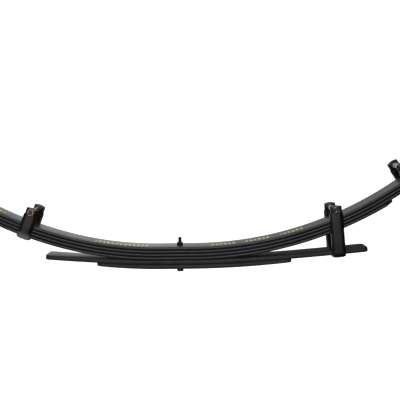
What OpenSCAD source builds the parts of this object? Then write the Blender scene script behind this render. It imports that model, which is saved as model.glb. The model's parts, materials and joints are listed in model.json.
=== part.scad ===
// Semi-elliptic leaf spring for a pickup truck's rear axle, unloaded.
// Four main leaves lie on two thicker, flatter helper leaves.
// +X points to the rear of the vehicle, Y runs across the leaves and +Z is up.
// The origin is the middle of the axle seat, under the short helper leaf.

/* [Leaves] */
// Width of every leaf
leaf_w = 60; // [50:1:70]
// Thickness of each main leaf
main_t = 7; // [6:0.5:8]
// Thickness of each helper leaf
helper_t = 10; // [9:0.5:12]
// Gap that the anti-friction film keeps between leaves
leaf_gap = 0.2; // [0.2:0.05:0.4]
// Length of the corner cuts at the main leaves' tips, along the leaf
tip_cut_l = 18; // [10:1:25]
// Width of the corner cuts at the main leaves' tips, across the leaf
tip_cut_w = 13; // [8:1:20]
// Radius of the rounded corners at the helpers' tips
helper_tip_r = 11; // [6:1:16]

/* [Camber] */
// Flat length in front of the centre bolt, main leaves
front_flat = 47; // [40:1:60]
// Flat length behind the centre bolt, main leaves
rear_flat = 34; // [30:1:60]
// Bend radius of the inner front half
front_inner_r = 783; // [750:1:900]
// Bend radius of the outer front half
front_outer_r = 857; // [800:1:1000]
// Bend radius of the rear half
rear_r = 830; // [780:1:900]

/* [Lengths along the leaf] */
// Centre bolt to the front eye
front_len = 585; // [570:1:620]
// Centre bolt to the rear eye
rear_len = 755; // [740:1:800]
// Rear end of the second leaf
second_rear = 700; // [680:1:720]
// Front end of the third leaf
third_front = 520; // [500:1:540]
// Rear end of the third leaf
third_rear = 600; // [580:1:640]
// Front end of the fourth leaf
fourth_front = 452; // [440:1:470]
// Rear end of the fourth leaf
fourth_rear = 488; // [470:1:490]
// Front end of the long helper leaf
long_front = 295; // [280:1:300]
// Rear end of the long helper leaf
long_rear = 413; // [400:1:420]
// Front end of the short helper leaf
short_front = 182; // [170:1:190]
// Rear end of the short helper leaf
short_rear = 245; // [230:1:250]

/* [Eyes and bushes] */
// Inside diameter of the rolled eyes
eye_d = 36; // [34:1:38]
// Outside diameter of the crush tubes
tube_d = 20; // [18:0.5:22]
// Bore of the crush tubes, for a 14 mm bolt
tube_bore_d = 14.3; // [14.1:0.1:14.5]
// Length of the crush tubes
tube_l = 70; // [69.4:0.2:74]
// Diameter of the bush flanges
flange_d = 50; // [44:1:54]

/* [Clips] */
// Width of the clip straps
strap_w = 29; // [27:1:30]
// Width of the strap ears, above the shoulders
ear_w = 25; // [23:1:26]
// Thickness of the straps' sides
strap_t = 5.6; // [5:0.1:6.5]
// Width of the bevels along both edges of the straps' outer face
bevel_w = 6.5; // [3:0.5:8]
// Height of the bolts over the top of the main leaf, front and rear clips
bolt_rise = 28; // [24:1:32]
// Height of the overload clip's bolt over the underside of the long helper
overload_rise = 99; // [97:1:110]
// Outside diameter of the tube spacers
spacer_d = 12; // [12:0.5:18]
// Place of the front clip, along the leaf
front_clip_s = 345; // [320:1:380]
// Place of the rear clip, along the leaf
rear_clip_s = 543; // [540:1:560]
// Place of the overload clip, along the long helper
overload_clip_s = 347; // [330:1:360]

/* [Centre bolt] */
// Diameter of the centre bolt's shank and of the clip bolts
bolt_d = 8; // [8:1:10]
// Diameter of the centre bolt's round head
head_d = 14.5; // [13:0.5:17]
// Height of the centre bolt's round head
head_h = 10; // [7:0.5:12]
// Length of the centre bolt's thread that stands above its nut
thread_end = 11.5; // [3:0.5:15]

/* [Hidden] */
$fn = 96;

// Distance between points along a leaf's outline
step = 12;
// Arc lengths of the bent stretches; each half ends in a straight stretch
front_inner_l = 211;
front_outer_l = 157;
rear_bent_l = 486;
front_path = [
    [front_flat, 0],
    [front_inner_l, front_inner_r],
    [front_outer_l, front_outer_r],
    [front_len - front_flat - front_inner_l - front_outer_l, 0]];
rear_path = [
    [rear_flat, 0],
    [rear_bent_l, rear_r],
    [rear_len - rear_flat - rear_bent_l, 0]];
// Upper helper line, and the line that tapers the short helper from below
helper_front_path = [[30, 0], [117, 2000], [200, 5000]];
helper_rear_path = [[20, 0], [162, 2500], [260, 8000]];
taper_front_path = [[36, 0], [200, 1230]];
taper_rear_path = [[20, 0], [240, 2080]];

// Heights at the middle
helper_z = helper_t + leaf_gap;
main_z = helper_z + helper_t + leaf_gap;
pitch = main_t + leaf_gap;
pack_t = 4 * main_t + 3 * leaf_gap;
stack_top = main_z + pack_t;

// Eyes and bushes
eye_r = eye_d / 2;
eye_rise = pack_t + eye_r;
eye_roll = 310;
wrap_roll = 100;
roll_step = 5;
bush_gap = 0.1;
running_gap = 0.06;
half_gap = 0.5;
flange_t = 4.2;
flange_chamfer = 1.5;

// Clips
liner_t = 2;
liner_base_t = 1.2;
fit_gap = 0.15;
liner_in = leaf_w / 2 + fit_gap;
liner_gap = 0.1;
strap_in = liner_in + liner_t + liner_gap;
strap_out = strap_in + strap_t;
strap_base_t = 4.2;
strap_bend = 9;
strap_top = -fit_gap - liner_base_t - liner_gap;
strap_bottom = strap_top - strap_base_t;
bevel_t = 2.7;
base_bevel_t = 1.6;
ear_r = 32;
ear_top = 10.5;
shoulder_drop = 6.5;
liner_drop = 9.5;
window_w = 12;
window_margin = 6;
hole_r = bolt_d / 2 + 0.3;
rivet_r = 4;
rivet_hole_r = rivet_r + 0.1;
dome_r = 9;
rivet_head_r = 7.5;
bolt_flange_t = 1.8;
bolt_flange_d = 17.8;
bolt_flange_top_d = 15.4;
bolt_head_h = 5.2;
thread_past_strap = 10;
seat_gap = 0.05;
spacer_play = 0.9;

// Nuts and the spot face under the short helper
hex_af = 1.625 * bolt_d;
nut_h = 0.8 * bolt_d;
nut_chamfer = 0.3;
chamfer = 0.8;
spot_d = 19;
spot_t = 0.5;

// The point [x, z, angle] reached after a stretch of the given length
function advance(from, length, radius) =
    radius == 0
        ? [from[0] + length * cos(from[2]), from[1] + length * sin(from[2]), from[2]]
        : let (a = from[2] + length / radius * 180 / PI)
          [from[0] + radius * (sin(a) - sin(from[2])),
           from[1] + radius * (cos(from[2]) - cos(a)), a];

// The point [x, z, angle] at distance s along a path of [length, radius] stretches
function along(path, s, i = 0, from = [0, 0, 0]) =
    i == len(path) - 1 || s <= path[i][0]
        ? advance(from, s, path[i][1])
        : along(path, s - path[i][0], i + 1, advance(from, path[i][0], path[i][1]));

// A point moved off the path by h, square to it
function raised(p, h) = [p[0] - h * sin(p[2]), p[1] + h * cos(p[2])];

// The line at height h over a path, from the middle out to distance s_end
function line(path, s_end, h) = [
    for (s = [0 : step : s_end - step / 2]) raised(along(path, s), h),
    raised(along(path, s_end), h)];

// A line rolled at radius r round the eye at the end of a path, through the given angle
function rolled(path, s, r, turn) =
    let (p = along(path, s), c = raised(p, eye_rise))
    [for (a = [roll_step : roll_step : turn]) [c[0] + r * sin(a + p[2]), c[1] - r * cos(a + p[2])]];

function reversed(v) = [for (i = [len(v) - 1 : -1 : 0]) v[i]];
function front(v) = [for (i = [1 : len(v) - 1]) [-v[i][0], v[i][1]]];

// A leaf's side view, from its upper and lower lines on both halves
module leaf_side(front_top, front_low, rear_top, rear_low) {
    polygon(concat(rear_top, reversed(rear_low), front(front_low), reversed(front(front_top))));
}

// Moves a solid onto a path, its +Z square to the leaf; dir is 1 at the rear, -1 in front
module on_leaf(path, s, h, z0, dir) {
    p = along(path, s);
    q = raised(p, h);
    translate([dir * q[0], 0, z0 + q[1]]) rotate([0, -dir * p[2], 0]) children();
}

module across(w) {
    rotate([90, 0, 0]) translate([0, 0, -w / 2]) linear_extrude(w) children();
}

// Plan view with cut corners, for tips at x0 in front and x1 behind
module tip_plan(x0, x1) {
    w = leaf_w / 2;
    v = w - tip_cut_w;
    polygon([
        [x0, -v], [x0 + tip_cut_l, -w], [x1 - tip_cut_l, -w], [x1, -v],
        [x1, v], [x1 - tip_cut_l, w], [x0 + tip_cut_l, w], [x0, v]]);
}

// Plan view with rounded corners
module round_plan(x0, x1) {
    w = leaf_w / 2 - helper_tip_r;
    hull() for (x = [x0 + helper_tip_r, x1 - helper_tip_r], y = [-w, w])
        translate([x, y]) circle(helper_tip_r);
}

// Upper and lower line of one half of the main leaf, with its eye
function eye_top(path, s) =
    concat(line(path, s, pack_t), rolled(path, s, eye_r, eye_roll));
function eye_low(path, s) =
    concat(line(path, s, 3 * pitch), rolled(path, s, eye_r + main_t, eye_roll));

// Upper and lower line of the second leaf's front half, which wraps round the eye
wrap_r = eye_r + main_t + leaf_gap;
wrap_top = concat(
    line(front_path, front_len, 3 * pitch - leaf_gap),
    rolled(front_path, front_len, wrap_r, wrap_roll));
wrap_low = concat(
    line(front_path, front_len, 2 * pitch),
    rolled(front_path, front_len, wrap_r + main_t, wrap_roll));

// A main leaf without eyes, between heights h and h + main_t over the pack's underside
module main_strip(s_front, s_rear, h) {
    leaf_side(
        line(front_path, s_front, h + main_t), line(front_path, s_front, h),
        line(rear_path, s_rear, h + main_t), line(rear_path, s_rear, h));
}

module bolt_hole(r) {
    translate([0, 0, -1]) cylinder(h = stack_top + 2, r = r);
}

// Cuts the corners of a main leaf's tips; a front length of 0 leaves the front end whole
module cut_leaf(s_front, s_rear, h) {
    x0 = s_front == 0 ? -2 * front_len : -raised(along(front_path, s_front), h)[0];
    x1 = raised(along(rear_path, s_rear), h)[0];
    intersection() {
        translate([0, 0, main_z]) across(leaf_w) children();
        linear_extrude(2 * rear_len) tip_plan(x0, x1);
    }
}

module main_leaf() {
    color("#5a5d60") difference() {
        translate([0, 0, main_z]) across(leaf_w) leaf_side(
            eye_top(front_path, front_len), eye_low(front_path, front_len),
            eye_top(rear_path, rear_len), eye_low(rear_path, rear_len));
        bolt_hole(hole_r);
    }
}

module second_leaf() {
    color("#3c3f44") difference() {
        cut_leaf(0, second_rear, 2 * pitch) leaf_side(
            wrap_top, wrap_low,
            line(rear_path, second_rear, 3 * pitch - leaf_gap),
            line(rear_path, second_rear, 2 * pitch));
        bolt_hole(hole_r);
    }
}

module third_leaf() {
    color("#3a3d42") difference() {
        cut_leaf(third_front, third_rear, pitch) main_strip(third_front, third_rear, pitch);
        bolt_hole(hole_r);
        on_leaf(rear_path, rear_clip_s, pitch, main_z, 1) rivet_hole();
    }
}

module fourth_leaf() {
    color("#383b40") difference() {
        cut_leaf(fourth_front, fourth_rear, 0) main_strip(fourth_front, fourth_rear, 0);
        bolt_hole(hole_r);
        on_leaf(front_path, front_clip_s, 0, main_z, -1) rivet_hole();
    }
}

module rivet_hole() {
    translate([0, 0, -1]) cylinder(h = helper_t + 2, r = rivet_hole_r);
}

module long_helper_leaf() {
    x0 = -along(helper_front_path, long_front)[0];
    x1 = along(helper_rear_path, long_rear)[0];
    color("#34363a") difference() {
        intersection() {
            translate([0, 0, helper_z]) across(leaf_w) leaf_side(
                line(helper_front_path, long_front, helper_t),
                line(helper_front_path, long_front, 0),
                line(helper_rear_path, long_rear, helper_t),
                line(helper_rear_path, long_rear, 0));
            linear_extrude(rear_len) round_plan(x0, x1);
        }
        bolt_hole(hole_r);
        on_leaf(helper_rear_path, overload_clip_s, 0, helper_z, 1) rivet_hole();
    }
}

// The underside follows a tighter line than the top, so the tips are thinner
module short_helper_leaf() {
    x0 = -along(taper_front_path, short_front)[0];
    x1 = along(taper_rear_path, short_rear)[0];
    top = helper_z - leaf_gap;
    color("#303236") difference() {
        intersection() {
            across(leaf_w) leaf_side(
                line(helper_front_path, short_front, top),
                line(taper_front_path, short_front, 0),
                line(helper_rear_path, short_rear, top),
                line(taper_rear_path, short_rear, 0));
            translate([0, 0, -1]) linear_extrude(rear_len) round_plan(x0, x1);
        }
        bolt_hole(hole_r);
        translate([0, 0, -1]) cylinder(h = spot_t + 1, d = spot_d);
    }
}

// Round head below, which locates in the axle's spring seat
module centre_bolt() {
    shank_l = stack_top + nut_h + thread_end - chamfer;
    color("#1b1b1c") {
        translate([0, 0, spot_t - head_h]) cylinder(h = head_h, d = head_d);
        cylinder(h = shank_l, d = bolt_d);
        translate([0, 0, shank_l]) cylinder(h = chamfer, d1 = bolt_d, d2 = bolt_d - 2 * chamfer);
    }
}

// Hexagon nut of height h standing on z = 0, its corners chamfered at both ends
module hex_nut(h) {
    corner_r = hex_af / cos(30) / 2;
    difference() {
        intersection() {
            cylinder(h = h, r = corner_r, $fn = 6);
            cylinder(h = h + hex_af, r1 = corner_r - nut_chamfer, r2 = hex_af * 2);
            translate([0, 0, -hex_af])
                cylinder(h = h + hex_af, r1 = hex_af * 2, r2 = corner_r - nut_chamfer);
        }
        translate([0, 0, -1]) cylinder(h = h + 2, r = bolt_d / 2 + seat_gap);
    }
}

module centre_nut() {
    color("#1d1d1e") translate([0, 0, stack_top + seat_gap]) hex_nut(nut_h);
}

// Half bush, its flange outside the eye; side is -1 on the left and 1 on the right
module bush_half(side) {
    color("#1d1e20") rotate([-90 * side, 0, 0]) rotate_extrude() polygon([
        [tube_d / 2 + running_gap, half_gap],
        [eye_r - bush_gap, half_gap],
        [eye_r - bush_gap, leaf_w / 2 + bush_gap],
        [flange_d / 2, leaf_w / 2 + bush_gap],
        [flange_d / 2, leaf_w / 2 + bush_gap + flange_t - flange_chamfer],
        [flange_d / 2 - flange_chamfer, leaf_w / 2 + bush_gap + flange_t],
        [tube_d / 2 + running_gap, leaf_w / 2 + bush_gap + flange_t]]);
}

module crush_tube() {
    color("#b9bcc0") across(tube_l) difference() {
        circle(d = tube_d);
        circle(d = tube_bore_d);
    }
}

module in_front_eye() {
    on_leaf(front_path, front_len, eye_rise, main_z, -1) children();
}

module in_rear_eye() {
    on_leaf(rear_path, rear_len, eye_rise, main_z, 1) children();
}

module front_bush_left() { in_front_eye() bush_half(-1); }
module front_bush_right() { in_front_eye() bush_half(1); }
module front_crush_tube() { in_front_eye() crush_tube(); }
module rear_bush_left() { in_rear_eye() bush_half(-1); }
module rear_bush_right() { in_rear_eye() bush_half(1); }
module rear_crush_tube() { in_rear_eye() crush_tube(); }

// Clip parts stand on the underside of the leaf that carries them, at z = 0;
// rise is the height of the bolt over it.

// Side view of a strap: shoulders under the ear, bevelled underside and round ear top
module strap_side(rise) {
    w = strap_w / 2;
    shoulder = rise - shoulder_drop;
    polygon([
        [-w, shoulder], [-w, strap_bottom + base_bevel_t], [bevel_w - w, strap_bottom],
        [w - bevel_w, strap_bottom], [w, strap_bottom + base_bevel_t], [w, shoulder]]);
    intersection() {
        translate([-ear_w / 2, 0]) square([ear_w, rise + ear_top]);
        translate([0, rise + ear_top - ear_r]) circle(ear_r);
    }
}

// End view of a strap: a U with rounded lower corners
module strap_end(rise) {
    flat = strap_out - strap_bend;
    difference() {
        union() {
            translate([-strap_out, strap_bottom + strap_bend])
                square([2 * strap_out, rise + ear_top]);
            translate([-flat, strap_bottom]) square([2 * flat, strap_bend + 1]);
            for (y = [-flat, flat]) translate([y, strap_bottom + strap_bend]) circle(strap_bend);
        }
        translate([-strap_in, strap_top]) square([2 * strap_in, 2 * rise]);
    }
}

// Plan view of a strap: bevels along the edges of both sides
module strap_plan() {
    w = strap_w / 2;
    v = strap_out - bevel_t;
    polygon([
        [-w, -v], [bevel_w - w, -strap_out], [w - bevel_w, -strap_out], [w, -v],
        [w, v], [w - bevel_w, strap_out], [bevel_w - w, strap_out], [-w, v]]);
}

module clip_strap(rise) {
    color("#232427") difference() {
        intersection() {
            across(3 * strap_out) strap_side(rise);
            rotate([90, 0, 90]) translate([0, 0, -strap_w]) linear_extrude(2 * strap_w)
                strap_end(rise);
            translate([0, 0, strap_bottom - 1]) linear_extrude(2 * rise) strap_plan();
        }
        translate([0, 0, rise]) rotate([90, 0, 0])
            cylinder(h = 3 * strap_out, r = hole_r, center = true);
        translate([0, 0, strap_bottom - 1]) cylinder(h = strap_base_t + 2, r = rivet_hole_r);
    }
}

// Nylon channel inside the strap, with a window up each side wall
module clip_liner(rise) {
    low = -fit_gap - liner_base_t;
    wall = liner_in + liner_t;
    top = rise - liner_drop;
    color("#131415") difference() {
        translate([-strap_w / 2, -wall, low]) cube([strap_w, 2 * wall, top - low]);
        translate([-strap_w, -liner_in, -fit_gap]) cube([2 * strap_w, 2 * liner_in, 2 * rise]);
        translate([-window_w / 2, -2 * wall, window_margin])
            cube([window_w, 4 * wall, top - 2 * window_margin]);
        translate([0, 0, low - 1]) cylinder(h = liner_base_t + 2, r = rivet_hole_r);
    }
}

// Domed head under the strap, shank through the strap and the leaf over it
module clip_rivet(leaf_t) {
    head_h = dome_r - sqrt(dome_r * dome_r - rivet_head_r * rivet_head_r);
    color("#77797b") translate([0, 0, strap_bottom - seat_gap]) {
        rotate_extrude() intersection() {
            translate([0, dome_r - head_h]) circle(dome_r);
            translate([0, -head_h]) square([rivet_head_r, head_h]);
        }
        cylinder(h = leaf_t - fit_gap - strap_bottom, r = rivet_r);
    }
}

// Flanged hexagon head on the left, thread end on the right
module clip_bolt(rise) {
    y0 = strap_out + seat_gap;
    color("#a8874a") translate([0, 0, rise]) rotate([90, 0, 0]) {
        translate([0, 0, y0]) cylinder(h = bolt_flange_t, d = bolt_flange_d);
        translate([0, 0, y0 + bolt_flange_t])
            cylinder(h = 1, d1 = bolt_flange_d, d2 = bolt_flange_top_d);
        translate([0, 0, y0 + bolt_flange_t])
            cylinder(h = bolt_head_h, d = hex_af / cos(30), $fn = 6);
        translate([0, 0, -y0 - thread_past_strap])
            cylinder(h = 2 * y0 + thread_past_strap + 1, d = bolt_d);
    }
}

module clip_spacer(rise) {
    color("#b4b0ac") translate([0, 0, rise]) across(2 * strap_in - spacer_play) difference() {
        circle(d = spacer_d);
        circle(bolt_d / 2 + running_gap);
    }
}

module clip_nut(rise) {
    color("#a8874a") translate([0, strap_out + seat_gap, rise]) rotate([-90, 0, 0]) hex_nut(nut_h);
}

front_rise = pack_t + bolt_rise;
rear_rise = pack_t - pitch + bolt_rise;

module in_front_clip() {
    on_leaf(front_path, front_clip_s, 0, main_z, -1) children();
}

module in_overload_clip() {
    on_leaf(helper_rear_path, overload_clip_s, 0, helper_z, 1) children();
}

module in_rear_clip() {
    on_leaf(rear_path, rear_clip_s, pitch, main_z, 1) children();
}

module front_clip_strap() { in_front_clip() clip_strap(front_rise); }
module front_clip_liner() { in_front_clip() clip_liner(front_rise); }
module front_clip_rivet() { in_front_clip() clip_rivet(main_t); }
module front_clip_bolt() { in_front_clip() clip_bolt(front_rise); }
module front_clip_spacer() { in_front_clip() clip_spacer(front_rise); }
module front_clip_nut() { in_front_clip() clip_nut(front_rise); }
module overload_clip_strap() { in_overload_clip() clip_strap(overload_rise); }
module overload_clip_liner() { in_overload_clip() clip_liner(overload_rise); }
module overload_clip_rivet() { in_overload_clip() clip_rivet(helper_t); }
module overload_clip_bolt() { in_overload_clip() clip_bolt(overload_rise); }
module overload_clip_spacer() { in_overload_clip() clip_spacer(overload_rise); }
module overload_clip_nut() { in_overload_clip() clip_nut(overload_rise); }
module rear_clip_strap() { in_rear_clip() clip_strap(rear_rise); }
module rear_clip_liner() { in_rear_clip() clip_liner(rear_rise); }
module rear_clip_rivet() { in_rear_clip() clip_rivet(main_t); }
module rear_clip_bolt() { in_rear_clip() clip_bolt(rear_rise); }
module rear_clip_spacer() { in_rear_clip() clip_spacer(rear_rise); }
module rear_clip_nut() { in_rear_clip() clip_nut(rear_rise); }

main_leaf();
second_leaf();
third_leaf();
fourth_leaf();
long_helper_leaf();
short_helper_leaf();
centre_bolt();
centre_nut();
front_bush_left();
front_bush_right();
front_crush_tube();
rear_bush_left();
rear_bush_right();
rear_crush_tube();
front_clip_strap();
front_clip_liner();
front_clip_rivet();
front_clip_bolt();
front_clip_spacer();
front_clip_nut();
overload_clip_strap();
overload_clip_liner();
overload_clip_rivet();
overload_clip_bolt();
overload_clip_spacer();
overload_clip_nut();
rear_clip_strap();
rear_clip_liner();
rear_clip_rivet();
rear_clip_bolt();
rear_clip_spacer();
rear_clip_nut();
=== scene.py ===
import json
import math

import bmesh
import bpy
import numpy as np
from mathutils import Matrix, Vector


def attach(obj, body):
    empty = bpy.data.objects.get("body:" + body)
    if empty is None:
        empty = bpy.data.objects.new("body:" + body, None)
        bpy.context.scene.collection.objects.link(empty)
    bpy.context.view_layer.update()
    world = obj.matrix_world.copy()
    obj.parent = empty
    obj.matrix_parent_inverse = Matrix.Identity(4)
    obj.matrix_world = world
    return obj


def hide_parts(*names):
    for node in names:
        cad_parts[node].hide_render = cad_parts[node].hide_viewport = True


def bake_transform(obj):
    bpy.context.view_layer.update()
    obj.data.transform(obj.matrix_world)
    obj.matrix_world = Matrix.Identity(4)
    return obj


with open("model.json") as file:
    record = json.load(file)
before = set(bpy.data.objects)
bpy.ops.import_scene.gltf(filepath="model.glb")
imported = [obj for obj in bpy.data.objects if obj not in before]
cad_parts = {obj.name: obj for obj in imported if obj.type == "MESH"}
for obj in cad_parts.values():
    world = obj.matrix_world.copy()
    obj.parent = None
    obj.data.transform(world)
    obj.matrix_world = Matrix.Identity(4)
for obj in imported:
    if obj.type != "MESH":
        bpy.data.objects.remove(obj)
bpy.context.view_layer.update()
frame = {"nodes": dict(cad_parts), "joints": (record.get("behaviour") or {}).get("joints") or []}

scene = bpy.context.scene
JOINT = {j["name"]: j for j in frame["joints"]}


# ---------------------------------------------------------------- sizes

# In metres. The sizes that the CAD also has repeat its values.

LEAF_W = 0.060
MAIN_T = 0.007
HELPER_T = 0.010
GAP = 0.0002
PITCH = MAIN_T + GAP
PACK_T = 4 * MAIN_T + 3 * GAP
HELPER_Z = HELPER_T + GAP
MAIN_Z = HELPER_Z + HELPER_T + GAP
STACK_TOP = MAIN_Z + PACK_T
MAIN_CUT = (0.018, 0.013)
HELPER_TIP_R = 0.011

# Each path is a list of stretches from the middle outwards: (length, bend radius), 0 for straight
FRONT_LEN = 0.585
REAR_LEN = 0.755
FRONT_PATH = [(0.047, 0), (0.211, 0.783), (0.157, 0.857), (0.170, 0)]
REAR_PATH = [(0.034, 0), (0.486, 0.830), (0.235, 0)]
HELPER_FRONT_PATH = [(0.030, 0), (0.117, 2.0), (0.200, 5.0)]
HELPER_REAR_PATH = [(0.020, 0), (0.162, 2.5), (0.260, 8.0)]
TAPER_FRONT_PATH = [(0.036, 0), (0.200, 1.230)]
TAPER_REAR_PATH = [(0.020, 0), (0.240, 2.080)]

# Lengths in front of the bolt and behind it
SECOND_REAR = 0.700
THIRD = (0.520, 0.600)
FOURTH = (0.452, 0.488)
LONG_HELPER = (0.295, 0.413)
SHORT_HELPER = (0.182, 0.245)

# EYE_ROLL, WRAP_ROLL and ROLL_STEP are in degrees round the eye
EYE_R = 0.018
EYE_RISE = PACK_T + EYE_R
EYE_ROLL = 310
WRAP_ROLL = 100
ROLL_STEP = 5
TUBE_R = 0.010
TUBE_BORE_R = 0.00715
TUBE_L = 0.070
FLANGE_R = 0.025
FLANGE_T = 0.0042

STRAP_W = 0.029
EAR_W = 0.025
STRAP_IN = 0.03225
STRAP_T = 0.0056
BASE_T = 0.0042
BASE_TOP = -0.00145
BEVEL_W = 0.0065
BEVEL_T = 0.0027
BASE_BEVEL_T = 0.0016
EAR_R = 0.032
EAR_TOP = 0.0105
SHOULDER_DROP = 0.0065
STRAP_BEND_R = 0.0034
STRAP_CROWN = 0.010
STRAP_EDGE = 0.0006
SPACER_R = 0.006
BOLT_R = 0.004
NUT_AF = 0.013
NUT_H = 0.0064
HEAD_H = 0.0052
HEAD_FLANGE_R = 0.0089
THREAD_PITCH = 0.00125
THREAD_END = 0.010
STUD_END = 0.0114
CENTRE_HEAD_R = 0.00725
CENTRE_HEAD_H = 0.0095
RIVET_R = 0.0075
RIVET_H = 0.0040
RIVET_SHANK_R = 0.004

# Each clip's distance along its leaf and the height of its bolt over its seat
FRONT_CLIP_S = 0.345
REAR_CLIP_S = 0.543
OVERLOAD_CLIP_S = 0.347
BOLT_RISE = PACK_T + 0.028
OVERLOAD_BOLT_RISE = 0.099

# Small gaps that keep two pieces apart: between flat faces, and round a shaft in its bore
FACE_GAP = 0.00005
BORE_GAP = 0.00006
STRAP_FACE = STRAP_IN + STRAP_T + FACE_GAP

# A liner's seat is the faces this near its clip's seat plane. On a clip that rocks on a bending leaf
# the seat lies lower by the play, so that the leaf doesn't cut into it.
SEAT_REACH = 0.0003
SEAT_PLAY = 0.00048
LINER_EDGE = 0.00028


# ---------------------------------------------------------------- leaf paths

def advance(at, length, radius):
    """The (x, z, angle) reached after one stretch."""
    x, z, a = at
    if radius == 0:
        return x + length * math.cos(a), z + length * math.sin(a), a
    b = a + length / radius
    return x + radius * (math.sin(b) - math.sin(a)), z + radius * (math.cos(a) - math.cos(b)), b


def along(path, s):
    """The (x, z, angle) at distance s along a path."""
    at = (0.0, 0.0, 0.0)
    for length, radius in path[:-1]:
        if s <= length:
            return advance(at, s, radius)
        at = advance(at, length, radius)
        s -= length
    return advance(at, s, path[-1][1])


def raised(p, h):
    """A point moved off its path by h, square to it, as (x, z)."""
    return p[0] - h * math.sin(p[2]), p[1] + h * math.cos(p[2])


# ---------------------------------------------------------------- mesh helpers

def finished(bm, name, smooth_angle=32):
    """A new object from a bmesh, smooth except where its faces meet at more than the angle."""
    bmesh.ops.recalc_face_normals(bm, faces=bm.faces)
    mesh = bpy.data.meshes.new(name)
    bm.to_mesh(mesh)
    bm.free()
    mesh.shade_smooth()
    mesh.set_sharp_from_angle(angle=math.radians(smooth_angle))
    obj = bpy.data.objects.new(name, mesh)
    scene.collection.objects.link(obj)
    return obj


def bridged(rings, closed_loop=False):
    """A bmesh whose quads join each ring of points to the next, with both ends closed or the last ring
    joined to the first; all rings have one length."""
    bm = bmesh.new()
    made = [[bm.verts.new(p) for p in ring] for ring in rings]
    pairs = list(zip(made, made[1:]))
    if closed_loop:
        pairs.append((made[-1], made[0]))
    n = len(made[0])
    for a, b in pairs:
        for j in range(n):
            bm.faces.new((a[j], a[(j + 1) % n], b[(j + 1) % n], b[j]))
    if not closed_loop:
        bm.faces.new(reversed(made[0]))
        bm.faces.new(made[-1])
    return bm


def lathe(profile, steps=64, closed_loop=False):
    """A bmesh turned about Z from (radius, z) points."""
    turn = [2 * math.pi * i / steps for i in range(steps)]
    rings = [[(r * math.cos(a), r * math.sin(a), z) for a in turn] for r, z in profile]
    return bridged(rings, closed_loop=closed_loop)


def placed(bm, matrix):
    """The same bmesh, moved."""
    bm.transform(matrix)
    return bm


def joined(name, *meshes, smooth_angle=32):
    """One object from several bmeshes."""
    whole = bmesh.new()
    for bm in meshes:
        part = bpy.data.meshes.new("part")
        bmesh.ops.recalc_face_normals(bm, faces=bm.faces)
        bm.to_mesh(part)
        bm.free()
        whole.from_mesh(part)
        bpy.data.meshes.remove(part)
    return finished(whole, name, smooth_angle)


def axis_map(bm):
    """A UV map that holds each corner's distance from the Z axis and its height."""
    layer = bm.loops.layers.uv.new("axis")
    for face in bm.faces:
        for loop in face.loops:
            x, y, z = loop.vert.co
            loop[layer].uv = (math.hypot(x, y), z)
    return bm


def dress(obj, material, slot, *nodes):
    """Gives a piece its material and hides the CAD nodes that it stands for; slot is not used."""
    obj.data.materials.clear()
    obj.data.materials.append(material)
    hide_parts(*nodes)


# ---------------------------------------------------------------- materials

class Nodes:
    """Writes a material's node tree."""

    def __init__(self, name):
        self.material = bpy.data.materials.new(name)
        self.material.use_nodes = True
        self.tree = self.material.node_tree
        self.shader = self.tree.nodes["Principled BSDF"]

    def add(self, kind, inputs=None, **settings):
        node = self.tree.nodes.new(kind)
        for key, value in settings.items():
            setattr(node, key, value)
        for key, value in (inputs or {}).items():
            self.feed(node.inputs[key], value)
        return node

    def feed(self, socket, value):
        if isinstance(value, bpy.types.NodeSocket):
            self.tree.links.new(value, socket)
        else:
            socket.default_value = value

    def math(self, operation, *values):
        node = self.add("ShaderNodeMath", operation=operation)
        for socket, value in zip(node.inputs, values):
            self.feed(socket, value)
        return node.outputs[0]

    def span(self, value, low, high, to_low=0.0, to_high=1.0):
        node = self.add("ShaderNodeMapRange", {
            "Value": value, "From Min": low, "From Max": high, "To Min": to_low, "To Max": to_high})
        return node.outputs[0]

    def mix(self, factor, a, b):
        node = self.add("ShaderNodeMix", data_type="RGBA")
        self.feed(node.inputs[0], factor)
        self.feed(node.inputs[6], a)
        self.feed(node.inputs[7], b)
        return node.outputs[2]

    def noise(self, where, scale, detail=3.0, roughness=0.55):
        node = self.add("ShaderNodeTexNoise", {
            "Vector": where, "Scale": scale, "Detail": detail, "Roughness": roughness})
        return node.outputs[0]

    def stretched(self, where, size):
        return self.add("ShaderNodeMapping", {"Vector": where, "Scale": size}).outputs[0]

    def bump(self, height, distance, strength=1.0, over=None):
        inputs = {"Height": height, "Distance": distance, "Strength": strength}
        if over is not None:
            inputs["Normal"] = over
        return self.add("ShaderNodeBump", inputs).outputs[0]

    def finish(self, **sockets):
        for key, value in sockets.items():
            self.feed(self.shader.inputs[key.replace("_", " ")], value)
        return self.material


def grey(v, tint=(1.0, 1.0, 1.0)):
    """A colour of one brightness, with a slight tint."""
    return (v * tint[0], v * tint[1], v * tint[2], 1.0)


# Rows of worn yellow diamonds on the main leaf's top, as (from, to) along the leaf
MARKS = [(-0.47, -0.408), (-0.192, -0.074), (0.070, 0.122), (0.148, 0.201), (0.227, 0.282)]
MARK_REACH = 0.5
MARK_PITCH = 0.0098
MARK_Y = -0.007
MARK_HALF_W = 0.0098
MARK_SLANT = 3.0
MARK_YELLOW = (0.97, 0.84, 0.10, 1.0)

# Brightness of bare steel in a chip of the paint, of the painted highlight round a clip's base, and of black
# overspray on zinc
LEAF_CHIP = 0.09
CLIP_CHIP = 0.06
HIGHLIGHT_GREY = 0.42
OVERSPRAY = 0.014


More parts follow.
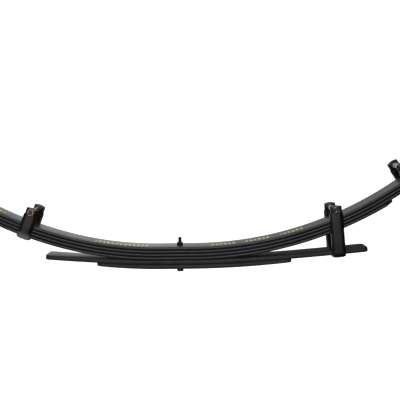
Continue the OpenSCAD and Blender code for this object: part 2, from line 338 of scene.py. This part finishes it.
def leaf_paint(name, base, tint, gloss, marks=False):
    """Black chassis paint over rolled spring steel: streaks along the leaf, faint dust, small chips."""
    n = Nodes(name)
    uv = n.add("ShaderNodeUVMap", uv_map="leaf").outputs[0]
    spot = n.add("ShaderNodeTexCoord").outputs["Object"]
    streak = n.noise(n.stretched(uv, (9.0, 420.0, 1.0)), 1.0, 4.0)
    cloud = n.noise(spot, 14.0, 5.0, 0.6)
    grain = n.noise(spot, 900.0, 2.0)
    peel = n.noise(spot, 260.0, 2.0)
    tone = n.math("MULTIPLY_ADD", streak, 0.5, n.math("MULTIPLY", cloud, 0.5))
    colour = n.mix(n.span(tone, 0.35, 0.65), grey(base * 0.7, tint), grey(base * 1.35, tint))
    dust = n.span(n.noise(spot, 60.0, 6.0, 0.7), 0.56, 0.78, 0.0, 0.35)
    colour = n.mix(dust, colour, grey(base * 3.2, tint))
    fleck = n.span(n.noise(spot, 520.0, 3.0, 0.6), 0.66, 0.74, 0.0, 0.6)
    colour = n.mix(fleck, colour, grey(LEAF_CHIP, tint))
    rough = n.span(tone, 0.3, 0.7, 0.34, 0.48)
    if marks:
        parts = n.add("ShaderNodeSeparateXYZ", {"Vector": uv}).outputs
        across = n.math("ABSOLUTE", n.math("SUBTRACT", parts[1], MARK_Y))
        ramp = n.add("ShaderNodeValToRGB", {
            "Fac": n.span(parts[0], -MARK_REACH, MARK_REACH)})
        ramp.color_ramp.interpolation = "CONSTANT"
        stops = ramp.color_ramp.elements
        stops[0].color = (0, 0, 0, 1)
        stops.remove(stops[1])
        for start, end in MARKS:
            stops.new(0.5 + 0.5 * start / MARK_REACH).color = (1, 1, 1, 1)
            stops.new(0.5 + 0.5 * end / MARK_REACH).color = (0, 0, 0, 1)
        place = n.math("FRACT", n.math("DIVIDE", parts[0], MARK_PITCH))
        phase = n.math("ABSOLUTE", n.math("SUBTRACT", place, 0.5))
        shape = n.math("ADD", n.math("MULTIPLY", phase, MARK_SLANT), n.math("DIVIDE", across, MARK_HALF_W))
        diamond = n.span(shape, 1.3, 1.05)
        worn = n.span(n.noise(n.stretched(uv, (260.0, 260.0, 1.0)), 1.0, 3.0), 0.37, 0.53)
        mark = n.math("MULTIPLY", n.math("MULTIPLY", ramp.outputs[0], diamond), worn)
        colour = n.mix(mark, colour, MARK_YELLOW)
    normal = n.bump(streak, 0.00012, 0.6)
    normal = n.bump(peel, 0.0001, 0.8, over=normal)
    normal = n.bump(grain, 0.00003, 0.4, over=normal)
    return n.finish(Base_Color=colour, Roughness=rough, Normal=normal, Specular_IOR_Level=gloss)


def clip_paint(name, painted_highlight=False):
    """Glossy black paint with small chips; the flag adds a painted highlight, pale grey round the strap's
    base.
    """
    n = Nodes(name)
    spot = n.add("ShaderNodeTexCoord").outputs["Object"]
    cloud = n.noise(spot, 45.0, 4.0)
    peel = n.noise(spot, 420.0, 2.0)
    colour = n.mix(n.span(cloud, 0.35, 0.65), grey(0.004), grey(0.009, (1.0, 1.0, 1.1)))
    fleck = n.span(n.noise(spot, 700.0, 3.0, 0.6), 0.68, 0.75, 0.0, 0.5)
    colour = n.mix(fleck, colour, grey(CLIP_CHIP))
    # painted highlight: the strap turns pale grey towards its base, with an uneven edge
    if painted_highlight:
        strap_uv = n.add("ShaderNodeUVMap", uv_map="strap").outputs[0]
        height = n.add("ShaderNodeSeparateXYZ", {"Vector": strap_uv}).outputs[1]
        uneven = n.math("SUBTRACT", n.noise(spot, 330.0, 4.0), 0.5)
        highlight_reach = n.math("MULTIPLY_ADD", uneven, 0.008, height)
        colour = n.mix(n.span(highlight_reach, 0.011, -0.008), colour, grey(HIGHLIGHT_GREY))
    normal = n.bump(peel, 0.00008, 0.6)
    return n.finish(
        Base_Color=colour, Roughness=n.span(cloud, 0.3, 0.7, 0.26, 0.36), Normal=normal,
        Specular_IOR_Level=0.58)


def nylon():
    """Black moulded nylon with a fine grain."""
    n = Nodes("liner_nylon")
    spot = n.add("ShaderNodeTexCoord").outputs["Object"]
    grain = n.noise(spot, 1500.0, 2.0)
    cloud = n.noise(spot, 70.0, 3.0)
    colour = n.mix(cloud, grey(0.003), grey(0.008))
    return n.finish(
        Base_Color=colour, Roughness=n.span(cloud, 0.3, 0.7, 0.3, 0.4),
        Normal=n.bump(grain, 0.00003, 0.4), Specular_IOR_Level=0.25)


def plated(name, low, high, black, rough=(0.26, 0.42), dark_core=None):
    """Zinc plate or bare steel of a varying colour, partly hidden by black overspray; dark_core is the
    radius of the dished middle of a bolt's head, which stays black."""
    n = Nodes(name)
    spot = n.add("ShaderNodeTexCoord").outputs["Object"]
    cloud = n.noise(spot, 240.0, 4.0, 0.6)
    fine = n.noise(spot, 1800.0, 2.0)
    spray = n.noise(spot, 330.0, 5.0, 0.65)
    edge = 0.72 - 0.44 * black
    mask = n.span(spray, edge, edge + 0.06)
    if dark_core:
        axis = n.add("ShaderNodeUVMap", uv_map="axis").outputs[0]
        radius = n.add("ShaderNodeSeparateXYZ", {"Vector": axis}).outputs[0]
        reach = n.math("MULTIPLY_ADD", n.math("SUBTRACT", spray, 0.5), dark_core, radius)
        mask = n.math("MAXIMUM", mask, n.span(reach, dark_core * 1.1, dark_core * 0.85))
    colour = n.mix(mask, n.mix(n.span(cloud, 0.3, 0.7), low, high), grey(OVERSPRAY))
    return n.finish(
        Base_Color=colour, Roughness=n.span(cloud, 0.3, 0.7, *rough),
        Metallic=n.math("SUBTRACT", 1.0, mask), Normal=n.bump(fine, 0.00003, 0.5))


def bush_rubber():
    """Black polyurethane, a little cloudy."""
    n = Nodes("bush_poly")
    spot = n.add("ShaderNodeTexCoord").outputs["Object"]
    cloud = n.noise(spot, 60.0, 4.0)
    fine = n.noise(spot, 1200.0, 2.0)
    colour = n.mix(cloud, grey(0.012), grey(0.024))
    return n.finish(
        Base_Color=colour, Roughness=n.span(cloud, 0.3, 0.7, 0.42, 0.6),
        Normal=n.bump(fine, 0.00004, 0.5))


PAINT_MAIN = leaf_paint("leaf_paint_marked", 0.022, (1.02, 0.99, 1.10), 0.5, marks=True)
PAINT_LEAF = leaf_paint("leaf_paint", 0.017, (1.0, 0.98, 1.16), 0.47)
PAINT_HELPER = leaf_paint("helper_paint", 0.032, (1.0, 0.98, 1.12), 0.17)
PAINT_CLIP = clip_paint("clip_paint")
# the second clip paint carries a painted highlight in pale grey round the strap's base
PAINT_CLIP_PAINTED_HIGHLIGHT = clip_paint("clip_paint_painted_highlight", painted_highlight=True)
NYLON = nylon()
RUBBER = bush_rubber()
BRONZE_ZINC = plated(
    "yellow_zinc", (0.26, 0.15, 0.09, 1), (0.50, 0.34, 0.23, 1), black=0.45, dark_core=0.0042)
SPRAYED_ZINC = plated("yellow_zinc_sprayed", (0.5, 0.38, 0.12, 1), (0.8, 0.64, 0.26, 1), black=0.79)
CLEAR_ZINC = plated(
    "tube_zinc", (0.19, 0.17, 0.16, 1), (0.34, 0.305, 0.285, 1), black=0.548, rough=(0.34, 0.5))
RIVET_STEEL = plated("rivet_steel", grey(0.10), grey(0.2), black=0.3, rough=(0.4, 0.5))
BOLT_STEEL = plated("centre_bolt_steel", grey(0.05), (0.09, 0.085, 0.08, 1), black=0.6)


# ---------------------------------------------------------------- leaves

# The radius of a rolled bar's edges, the length of a mesh step along it, and how far a tip's last face
# is drawn in; TIP_SHARES are the steps across a shaped tip
EDGE_R = 0.0029
CORNER_STEPS = 4
STEP = 0.008
INSET = 0.0008
TIP_SHARES = (0.93, 0.72, 0.5, 0.32, 0.18)


def section(half_w, t):
    """A leaf's rounded section: (across, share of the thickness, distance round from the top's middle)."""
    r = min(EDGE_R, 0.45 * t)
    points = [(0.0, t)]
    corners = [
        (half_w - r, t - r, 90), (half_w - r, r, 0), (r - half_w, r, -90), (r - half_w, t - r, -180)]
    for i, (cx, cz, a0) in enumerate(corners):
        for k in range(CORNER_STEPS + 1):
            a = math.radians(a0 - 90 * k / CORNER_STEPS)
            points.append((cx + r * math.cos(a), cz + r * math.sin(a)))
        if i == 1:
            points.append((0.0, 0.0))
    walk = [0.0]
    for p, q in zip(points, points[1:]):
        walk.append(walk[-1] + math.dist(p, q))
    return [(y, z / t, w) for (y, z), w in zip(points, walk)]


def tip_width(left, tip):
    """Half width at a distance from the tip, whose corners are cut (length, width) or rounded."""
    if isinstance(tip, tuple):
        return LEAF_W / 2 - tip[1] * max(0.0, tip[0] - left) / tip[0]
    inward = max(0.0, tip - left)
    return LEAF_W / 2 - tip + math.sqrt(tip * tip - inward * inward)


def stations(path, length, h_low, h_top, low_path=None, tip=MAIN_CUT, roll=None):
    """(low point, top point, half width, distance) from the middle out to a tip or round an eye."""
    low_path = low_path or path
    reach = tip[0] if isinstance(tip, tuple) else tip or 0
    spots = list(np.linspace(0, length - reach, max(2, round((length - reach) / STEP)) + 1))
    if tip:
        spots += [length - reach * share for share in TIP_SHARES] + [length - INSET]
    rows = []
    for s in spots:
        low = raised(along(low_path, s), h_low)
        top = raised(along(path, s), h_top)
        rows.append((low, top, tip_width(length - s, tip) if tip else LEAF_W / 2, s))
    if roll:
        turn, centre_h = roll
        p = along(path, length)
        cx, cz = raised(p, centre_h)
        for a in range(ROLL_STEP, turn + 1, ROLL_STEP):
            b = math.radians(a) + p[2]
            low, top = (
                (cx + (centre_h - h) * math.sin(b), cz - (centre_h - h) * math.cos(b))
                for h in (h_low, h_top))
            rows.append((low, top, LEAF_W / 2, length + math.radians(a) * (centre_h - h_top)))
    # the last face is a little smaller, which rounds the tip's edge
    if tip:
        low = raised(along(low_path, length), h_low)
        top = raised(along(path, length), h_top)
        rows.append(inset(low, top, tip_width(INSET / 2, tip), length))
    else:
        low, top, w, s = rows[-1]
        rows.append(inset(low, top, w, s + INSET))
    return rows


def inset(low, top, half_w, s):
    """A station drawn in by INSET on every side."""
    low, top = np.array(low), np.array(top)
    d = (top - low) / np.linalg.norm(top - low) * INSET
    return tuple(low + d), tuple(top - d), half_w - INSET, s


def leaf_mesh(name, rows, z0, side):
    """A leaf, or half of one, swept through its stations; side -1 mirrors it to the front."""
    rings, walks = [], []
    for low, top, half_w, s in rows:
        low, top = np.array(low), np.array(top)
        ring = section(half_w, np.linalg.norm(top - low))
        rings.append([
            (side * (low[0] + v * (top[0] - low[0])), y, z0 + low[1] + v * (top[1] - low[1]))
            for y, v, _ in ring])
        walks.append([w for _, _, w in ring])
    n = len(rings[0])
    bm = bridged(rings)
    layer = bm.loops.layers.uv.new("leaf")
    bm.verts.index_update()
    half = n // 2
    for face in bm.faces:
        wrap = any(v.index % n > half for v in face.verts)
        for loop in face.loops:
            i, j = divmod(loop.vert.index, n)
            total = walks[i][-1] + math.dist(rings[i][-1], rings[i][0])
            w = walks[i][j]
            if wrap:
                w = 0.0 if j == 0 else w - total
            loop[layer].uv = (side * rows[i][3], w)
    return finished(bm, name)


def bend(obj):
    """Bakes the half's placement into its mesh."""
    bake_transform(obj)


def main_pack():
    """The four main leaves, each as two halves that meet over the seat."""
    top_h = 3 * PITCH
    eye = (EYE_ROLL, EYE_RISE)
    wrap = (WRAP_ROLL, EYE_RISE)
    rows = {
        "main_leaf": (
            stations(FRONT_PATH, FRONT_LEN, top_h, PACK_T, tip=None, roll=eye),
            stations(REAR_PATH, REAR_LEN, top_h, PACK_T, tip=None, roll=eye)),
        "second_leaf": (
            stations(FRONT_PATH, FRONT_LEN, 2 * PITCH, 2 * PITCH + MAIN_T, tip=None, roll=wrap),
            stations(REAR_PATH, SECOND_REAR, 2 * PITCH, 2 * PITCH + MAIN_T)),
        "third_leaf": (
            stations(FRONT_PATH, THIRD[0], PITCH, PITCH + MAIN_T),
            stations(REAR_PATH, THIRD[1], PITCH, PITCH + MAIN_T)),
        "fourth_leaf": (
            stations(FRONT_PATH, FOURTH[0], 0, MAIN_T),
            stations(REAR_PATH, FOURTH[1], 0, MAIN_T))}
    for node, halves in rows.items():
        material = PAINT_MAIN if node == "main_leaf" else PAINT_LEAF
        for side, half, word in ((-1, halves[0], "front"), (1, halves[1], "rear")):
            obj = leaf_mesh(f"{node}_{word}_half", half, MAIN_Z, side)
            dress(obj, material, "leaf_paint", node)
            bend(obj)


def helper_leaves():
    """The two helper leaves, which stay on the seat; the short one is tapered from below."""
    for node, lengths, low_paths, h_low, h_top in (
        ("long_helper_leaf", LONG_HELPER, (None, None), HELPER_Z, HELPER_Z + HELPER_T),
        ("short_helper_leaf", SHORT_HELPER, (TAPER_FRONT_PATH, TAPER_REAR_PATH), 0.0, HELPER_T),
    ):
        front = stations(HELPER_FRONT_PATH, lengths[0], h_low, h_top, low_paths[0], HELPER_TIP_R)
        rear = stations(HELPER_REAR_PATH, lengths[1], h_low, h_top, low_paths[1], HELPER_TIP_R)
        front = [
            ((-low[0], low[1]), (-top[0], top[1]), half_w, -s) for low, top, half_w, s in reversed(front[1:])]
        obj = leaf_mesh(node + "_bar", front + rear, 0.0, 1)
        dress(obj, PAINT_HELPER, "helper_paint", node)
        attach(obj, "leaf_pack")


# ---------------------------------------------------------------- bolts, nuts and turned parts

HEX_STEPS = 96
HEX_FLAT_SHARE = 0.96
HEX_CHAMFER_STEPS = 5
HEX_CHAMFER_SLOPE = 0.58
BORE_CHAMFER = 0.0005
TUBE_CHAMFER = 0.0006


def hex_prism(af, levels, bore=None):
    """Hexagonal nut or head: levels are (z, widest radius), which cut its corners as chamfers."""
    def corner(a):
        b = (a + math.pi / 6) % (math.pi / 3) - math.pi / 6
        return af / 2 / math.cos(b)

    def ring(z, radius):
        return [(radius(a) * math.cos(a), radius(a) * math.sin(a), z) for a in turn]

    turn = [2 * math.pi * i / HEX_STEPS for i in range(HEX_STEPS)]
    rings = [ring(z, lambda a, r=r: min(corner(a), r)) for z, r in levels]
    if bore is None:
        return bridged(rings)
    low, high = levels[0][0], levels[-1][0]
    for z, r in ((high, bore + BORE_CHAMFER), (high - BORE_CHAMFER, bore), (low, bore)):
        rings.append(ring(z, lambda a, r=r: r))
    return bridged(rings, closed_loop=True)


def hex_levels(af, h, both=True):
    """The levels of a hexagon of height h, chamfered on top, or on both ends."""
    top = af / math.sqrt(3)
    cut = top - af / 2 * HEX_FLAT_SHARE
    steps = HEX_CHAMFER_STEPS
    up = [
        (h - (steps - k) / steps * cut * HEX_CHAMFER_SLOPE, top - cut * k / steps)
        for k in range(steps + 1)]
    down = [(h - z, r) for z, r in reversed(up)] if both else [(0.0, top)]
    return down + up


def thread(radius, length):
    """A threaded rod's end, its thread a true helix, on the Z axis from 0 to length; its tip is drawn in."""
    steps = 40
    rows_per_turn = 8
    depth = 0.61 * THREAD_PITCH
    tip_l = 0.001
    tip_cut = 0.0007
    rows = round(length / THREAD_PITCH * rows_per_turn)
    rings = []
    for i in range(rows + 1):
        z = length * i / rows
        ring = []
        for k in range(steps):
            a = 2 * math.pi * k / steps
            phase = (z / THREAD_PITCH - k / steps) % 1.0
            fade = min(1.0, (length - z) / tip_l)
            cut = depth * (1 - abs(2 * phase - 1)) * 0.9 + (1 - fade) * tip_cut
            r = radius - min(depth, cut)
            ring.append((r * math.cos(a), r * math.sin(a), z))
        rings.append(ring)
    return bridged(rings)


def rounded(profile, r):
    """Cuts each corner of an open (radius, z) profile by r."""
    out = [profile[0]]
    for a, b, c in zip(profile, profile[1:], profile[2:]):
        for other in (a, c):
            d = math.dist(b, other)
            share = min(r, d * 0.45) / d
            out.append((b[0] + (other[0] - b[0]) * share, b[1] + (other[1] - b[1]) * share))
    return out + [profile[-1]]


def ring_profile(r_in, r_out, z0, z1):
    """A closed tube section with its four corners cut."""
    r = TUBE_CHAMFER
    return [
        (r_in + r, z0), (r_out - r, z0), (r_out, z0 + r), (r_out, z1 - r),
        (r_out - r, z1), (r_in + r, z1), (r_in, z1 - r), (r_in, z0 + r)]


# A turned part's profile starts this far from its axis
AXIS_R = 0.0001

# Turns a part that was made along Z to point along +Y, and along -Y
Z_TO_Y = Matrix.Rotation(math.radians(-90), 4, "X")
Z_TO_MINUS_Y = Matrix.Rotation(math.radians(90), 4, "X")


def centre_fixings():
    """The centre bolt, its round head under the pack and its nut on top."""
    low, high = -CENTRE_HEAD_H, 0.0004
    outline = [(AXIS_R, low), (CENTRE_HEAD_R, low), (CENTRE_HEAD_R, high), (AXIS_R, high)]
    head = lathe(rounded(outline, 0.0008))
    shank = lathe([(BOLT_R, 0.0), (BOLT_R, STACK_TOP)], 32)
    stud = placed(thread(BOLT_R, NUT_H + STUD_END), Matrix.Translation((0, 0, STACK_TOP)))
    bolt = joined("centre_bolt_body", head, shank, stud)
    dress(bolt, BOLT_STEEL, "centre_bolt_steel", "centre_bolt")
    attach(bolt, "leaf_pack")
    seat = Matrix.Translation((0, 0, STACK_TOP + 0.00002))
    nut = finished(
        placed(hex_prism(NUT_AF, hex_levels(NUT_AF, NUT_H), BOLT_R), seat), "centre_nut_body", 25)
    dress(nut, BOLT_STEEL, "centre_bolt_steel", "centre_nut")
    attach(nut, "leaf_pack")


def eye_parts(end):
    """The two flanged bush halves of an eye and the crush tube through them."""
    at = Matrix.Translation(JOINT[f"{end}_tube_turn"]["pos_m"]) @ Z_TO_Y
    bore = TUBE_R + BORE_GAP
    body = EYE_R - 0.0001
    inner = LEAF_W / 2 + 0.0001
    outer = inner + FLANGE_T
    profile = [
        (bore + 0.0005, 0.0005), (body - 0.0008, 0.0005), (body, 0.0013), (body, inner),
        (FLANGE_R - 0.0006, inner), (FLANGE_R, inner + 0.0006), (FLANGE_R, outer - 0.0016),
        (FLANGE_R - 0.0005, outer - 0.0005), (FLANGE_R - 0.0016, outer),
        (bore + 0.0028, outer), (bore + 0.0012, outer - 0.0005), (bore, outer - 0.0014), (bore, 0.001)]
    for side, word in ((-1, "left"), (1, "right")):
        half = placed(lathe(profile, 72, closed_loop=True), at @ Matrix.Diagonal((1, 1, side, 1)))
        obj = finished(half, f"{end}_bush_{word}_half")
        dress(obj, RUBBER, "bush_poly", f"{end}_bush_{word}")
        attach(obj, f"{end}_eye")
    tube = lathe(ring_profile(TUBE_BORE_R, TUBE_R, -TUBE_L / 2, TUBE_L / 2), 72, closed_loop=True)
    obj = finished(placed(tube, at), f"{end}_crush_tube_turned")
    dress(obj, CLEAR_ZINC, "tube_steel", f"{end}_crush_tube")
    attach(obj, f"{end}_tube")


# ---------------------------------------------------------------- clips

def strap_path(rise):
    """Inner line of a strap from the left ear's top to the right's, as (y, z, outward y, outward z,
    thickness)."""
    top = rise + EAR_TOP
    low = BASE_TOP + STRAP_BEND_R
    shoulder = EAR_TOP + SHOULDER_DROP
    drops = [0.0, 0.001, 0.003, 0.006, 0.010, shoulder - 0.0004, shoulder + 0.0004]
    z = top - drops[-1] - 0.003
    levels = [top - d for d in drops] + list(np.linspace(z, low, max(3, round((z - low) / 0.006))))
    rows = [(-STRAP_IN, z, -1, 0, STRAP_T) for z in levels]
    for k in range(1, 8):
        a = math.radians(90 * k / 8)
        rows.append((
            -STRAP_IN + STRAP_BEND_R - STRAP_BEND_R * math.cos(a), low - STRAP_BEND_R * math.sin(a),
            -math.cos(a), -math.sin(a), STRAP_T + (BASE_T - STRAP_T) * k / 8))
    rows += [(y, BASE_TOP, 0, -1, BASE_T) for y in np.linspace(-STRAP_IN + STRAP_BEND_R, 0, 6)]
    return rows + [(-y, z, -ny, nz, t) for y, z, ny, nz, t in reversed(rows[:-1])]


def strap_section(half_w, t, bevel_t):
    """Points round a strap: flat inside, bevelled outside, as (x, distance out of the inner face)."""
    r = STRAP_EDGE
    soft = 0.0009
    flat = STRAP_W / 2 - BEVEL_W
    slope = bevel_t / BEVEL_W

    def outer(x):
        return t - slope * max(0.0, x - flat)

    half = [
        (half_w - r, 0.0), (half_w, r), (half_w, outer(half_w) - r), (half_w - r, outer(half_w - r)),
        (flat + soft * 2, outer(flat + soft * 2)), (flat + soft, outer(flat + soft) - soft * slope * 0.15),
        (flat, t - soft * slope * 0.4), (flat - soft, t - soft * slope * 0.1), (flat - soft * 3, t)]
    return half + [(0.0, t)] + [(-x, d) for x, d in reversed(half)] + [(0.0, 0.0)]


def strap(rise):
    """A bent strap with narrower, rounded ears, its seat at z = 0 and its bolt at z = rise."""
    top = rise + EAR_TOP
    rings = []
    for y, z, ny, nz, t in strap_path(rise):
        half_w = EAR_W / 2 if z > top - EAR_TOP - SHOULDER_DROP else STRAP_W / 2
        bevel_t = BEVEL_T + (BASE_BEVEL_T - BEVEL_T) * (STRAP_T - t) / (STRAP_T - BASE_T)
        cap = max(0.0, 1 - (top - z) / STRAP_CROWN)
        # the ear's top face is a little smaller, which rounds its edge
        edge = STRAP_EDGE if top - z < 0.0005 else 0
        ring = []
        for x, d in strap_section(half_w - edge, t - edge, bevel_t):
            d = max(d, edge) if edge else d
            ring.append((x, y + ny * d, z + nz * d - cap * x * x / (2 * EAR_R)))
        rings.append(ring)
    return bridged(rings)


def strap_map(bm):
    """A UV map that holds each corner's place across a strap and its height over the seat."""
    layer = bm.loops.layers.uv.new("strap")
    for face in bm.faces:
        for loop in face.loops:
            loop[layer].uv = (loop.vert.co.x, loop.vert.co.z)
    return bm


def softened(node, name, frame_at, seat_play):
    """A liner's CAD shape with whole flat faces, its seat lowered by the play and its edges rounded."""
    bm = bmesh.new()
    bm.from_mesh(frame["nodes"][node].data)
    bmesh.ops.remove_doubles(bm, verts=bm.verts, dist=2e-6)
    bmesh.ops.dissolve_limit(bm, angle_limit=math.radians(0.5), verts=bm.verts, edges=bm.edges)
    to_clip = frame_at.inverted()
    for v in bm.verts:
        at = to_clip @ v.co
        if abs(at.z) < SEAT_REACH:
            v.co = frame_at @ Vector((at.x, at.y, at.z - seat_play))
    sharp = [e for e in bm.edges if len(e.link_faces) == 2 and e.calc_face_angle() > math.radians(35)]
    bmesh.ops.bevel(
        bm, geom=sharp, offset=LINER_EDGE, offset_type="OFFSET", segments=2,
        profile=0.6, affect="EDGES", clamp_overlap=True)
    bmesh.ops.triangulate(bm, faces=bm.faces, ngon_method="EAR_CLIP")
    return finished(bm, name, 28)


def bolt_parts(rise):
    """Flanged hexagon bolt across a clip: its dished head on the left, its thread past the nut."""
    flange_t = 0.0018
    dish = 0.0008
    flange = lathe([
        (AXIS_R, 0.0), (0.0086, 0.0), (HEAD_FLANGE_R, 0.0003), (HEAD_FLANGE_R, 0.0013), (0.0086, flange_t),
        (0.0079, 0.0024), (0.0073, 0.0028), (AXIS_R, 0.0028)], 64)
    levels = hex_levels(NUT_AF, HEAD_H, both=False)
    levels += [(HEAD_H, 0.0044), (HEAD_H - dish, 0.0036), (HEAD_H - dish, AXIS_R)]
    head = placed(hex_prism(NUT_AF, levels), Matrix.Translation((0, 0, flange_t)))
    shank = lathe([(BOLT_R, 0.0), (BOLT_R, -2 * STRAP_FACE)], 32)
    turned_over = Matrix.Translation((0, 0, -2 * STRAP_FACE)) @ Matrix.Rotation(math.pi, 4, "X")
    stub = placed(thread(BOLT_R, THREAD_END), turned_over)
    at = Matrix.Translation((0, -STRAP_FACE, rise)) @ Z_TO_MINUS_Y
    return [placed(axis_map(bm), at) for bm in (flange, head, shank, stub)]


def clip(name, body, frame_at, rise, bolt_material):
    """A rebound clip's six pieces, placed by the frame of its seat."""
    obj = finished(placed(strap_map(strap(rise)), frame_at), f"{name}_clip_strap_bent", 40)
    # only the front clip's strap has the painted highlight round its base
    dress(obj, PAINT_CLIP_PAINTED_HIGHLIGHT if name == "front" else PAINT_CLIP, "clip_paint", f"{name}_clip_strap")
    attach(obj, body)
    # a clip that follows a bending leaf rocks a little on it
    play = 0.0 if body == "leaf_pack" else SEAT_PLAY
    obj = softened(f"{name}_clip_liner", f"{name}_clip_liner_moulded", frame_at, play)
    dress(obj, NYLON, "liner_nylon", f"{name}_clip_liner")
    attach(obj, body)
    below = BASE_TOP - BASE_T - FACE_GAP
    dome = [
        (RIVET_R * math.sin(a), below - RIVET_H * math.cos(a)) for a in np.linspace(0.01, math.pi / 2, 12)]
    rivet = lathe(dome + [(RIVET_SHANK_R, below), (RIVET_SHANK_R, 0.004)], 48)
    obj = finished(placed(rivet, frame_at), f"{name}_clip_rivet_domed")
    dress(obj, RIVET_STEEL, "rivet_steel", f"{name}_clip_rivet")
    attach(obj, body)
    bolt = [placed(bm, frame_at) for bm in bolt_parts(rise)]
    obj = joined(f"{name}_clip_bolt_turned", *bolt, smooth_angle=25)
    dress(obj, bolt_material, "yellow_zinc", f"{name}_clip_bolt")
    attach(obj, body)
    nut = axis_map(hex_prism(NUT_AF, hex_levels(NUT_AF, NUT_H), BOLT_R))
    at = frame_at @ Matrix.Translation((0, STRAP_FACE, rise)) @ Z_TO_Y
    obj = finished(placed(nut, at), f"{name}_clip_nut_turned", 25)
    dress(obj, bolt_material, "yellow_zinc", f"{name}_clip_nut")
    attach(obj, body)
    half = STRAP_IN - 0.00045
    tube = lathe(ring_profile(BOLT_R + BORE_GAP, SPACER_R, -half, half), 64, closed_loop=True)
    at = frame_at @ Matrix.Translation((0, 0, rise)) @ Z_TO_Y
    obj = finished(placed(tube, at), f"{name}_clip_spacer_tube")
    dress(obj, CLEAR_ZINC, "tube_steel", f"{name}_clip_spacer")
    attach(obj, f"{name}_spacer")


def on_leaf(path, s, h, z0, side):
    """Frame on a leaf's underside, its Z square to the leaf."""
    p = along(path, s)
    x, z = raised(p, h)
    return Matrix.Translation((side * x, 0, z0 + z)) @ Matrix.Rotation(-side * p[2], 4, "Y")


def clips():
    """The three clips, under the fourth leaf in front, the third behind, and the long helper."""
    front = on_leaf(FRONT_PATH, FRONT_CLIP_S, 0, MAIN_Z, -1)
    rear = on_leaf(REAR_PATH, REAR_CLIP_S, PITCH, MAIN_Z, 1)
    overload = on_leaf(HELPER_REAR_PATH, OVERLOAD_CLIP_S, 0, HELPER_Z, 1)
    clip("front", "front_clip", front, BOLT_RISE, BRONZE_ZINC)
    clip("rear", "rear_clip", rear, BOLT_RISE - PITCH, BRONZE_ZINC)
    clip("overload", "leaf_pack", overload, OVERLOAD_BOLT_RISE, SPRAYED_ZINC)


# ---------------------------------------------------------------- studio

LAMP_AIM = (0.05, 0.0, 0.1)
FLOOR_Z = -0.55
FLOOR_R = 14.0
BACKDROP_STRENGTH = 1.25


def softbox(name, at, size, power):
    """A rectangular lamp aimed at the middle of the spring."""
    lamp = bpy.data.lights.new(name, "AREA")
    lamp.shape = "RECTANGLE"
    lamp.size, lamp.size_y = size
    lamp.energy = power
    obj = bpy.data.objects.new(name, lamp)
    scene.collection.objects.link(obj)
    obj.location = at
    obj.rotation_euler = (Vector(LAMP_AIM) - Vector(at)).to_track_quat("-Z", "Y").to_euler()


def studio():
    """A white backdrop, soft light from behind on the front end's side, and a pale floor far below."""
    bm = bmesh.new()
    bmesh.ops.create_circle(bm, cap_ends=True, segments=96, radius=FLOOR_R)
    floor = finished(placed(bm, Matrix.Translation((0, 0, FLOOR_Z))), "floor")
    n = Nodes("pale_floor")
    grain = n.noise(n.add("ShaderNodeTexCoord").outputs["Object"], 3.0)
    shade = n.mix(grain, grey(0.9), grey(0.93))
    floor.data.materials.append(n.finish(
        Base_Color=shade, Emission_Color=shade, Emission_Strength=1.1, Roughness=0.9))
    floor.visible_glossy = False
    floor.visible_diffuse = False

    world = bpy.data.worlds.new("studio")
    scene.world = world
    world.use_nodes = True
    tree = world.node_tree

    def node(kind, **inputs):
        made = tree.nodes.new(kind)
        for key, value in inputs.items():
            socket = made.inputs[key.replace("_", " ")]
            if isinstance(value, bpy.types.NodeSocket):
                tree.links.new(value, socket)
            else:
                socket.default_value = value
        return made

    def ramp(value, start, end, at_start, at_end):
        return node(
            "ShaderNodeMapRange", Value=value, From_Min=start, From_Max=end,
            To_Min=at_start, To_Max=at_end)

    way = node("ShaderNodeTexCoord").outputs["Generated"]
    parts = node("ShaderNodeSeparateXYZ", Vector=way).outputs
    behind = ramp(parts[1], -0.1, 0.6, 0.03, 0.88)
    behind.interpolation_type = "SMOOTHSTEP"
    sideways = ramp(parts[0], -0.02, 0.06, 1.8, 0.0)
    low = ramp(parts[2], 0.3, 0.7, 1.0, 0.1)
    above = ramp(parts[2], 0.2, 0.6, 0.0, 0.3)
    light = behind.outputs[0]
    for operation, other in (("MULTIPLY", sideways), ("MULTIPLY", low), ("MAXIMUM", above)):
        step = tree.nodes.new("ShaderNodeMath")
        step.operation = operation
        tree.links.new(light, step.inputs[0])
        tree.links.new(other.outputs[0], step.inputs[1])
        light = step.outputs[0]
    seen = node("ShaderNodeLightPath").outputs["Is Camera Ray"]
    strength = tree.nodes.new("ShaderNodeMix")
    tree.links.new(seen, strength.inputs[0])
    tree.links.new(light, strength.inputs[2])
    strength.inputs[3].default_value = BACKDROP_STRENGTH
    back = tree.nodes["Background"]
    back.inputs["Color"].default_value = (1, 1, 1, 1)
    tree.links.new(strength.outputs[0], back.inputs["Strength"])

    softbox("front_softbox", (-0.05, -2.3, 0.5), (1.8, 0.8), 25.0)
    softbox("top_softbox", (0.0, 0.6, 2.8), (2.6, 1.8), 18.0)


def camera():
    """The photograph's camera: it looks along +Y and a little down."""
    pitch = math.radians(5.45)
    roll = math.radians(-0.66)
    stand = Vector((0.0456, -1.4615, 0.2877))
    frame_px = 400
    focal_px = 667.2
    back = Vector((0, -math.cos(pitch), math.sin(pitch)))
    right = Vector((1, 0, 0))
    up = back.cross(right)
    turned_right = right * math.cos(roll) + up * math.sin(roll)
    turned_up = up * math.cos(roll) - right * math.sin(roll)
    matrix = Matrix((turned_right, turned_up, back)).transposed().to_4x4()
    matrix.translation = stand
    data = bpy.data.cameras.new("camera")
    data.sensor_width = 36.0
    data.lens = data.sensor_width * focal_px / frame_px
    obj = bpy.data.objects.new("camera", data)
    scene.collection.objects.link(obj)
    obj.matrix_world = matrix
    scene.camera = obj


main_pack()
helper_leaves()
centre_fixings()
eye_parts("front")
eye_parts("rear")
clips()
studio()
camera()
scene.view_settings.view_transform = "Standard"
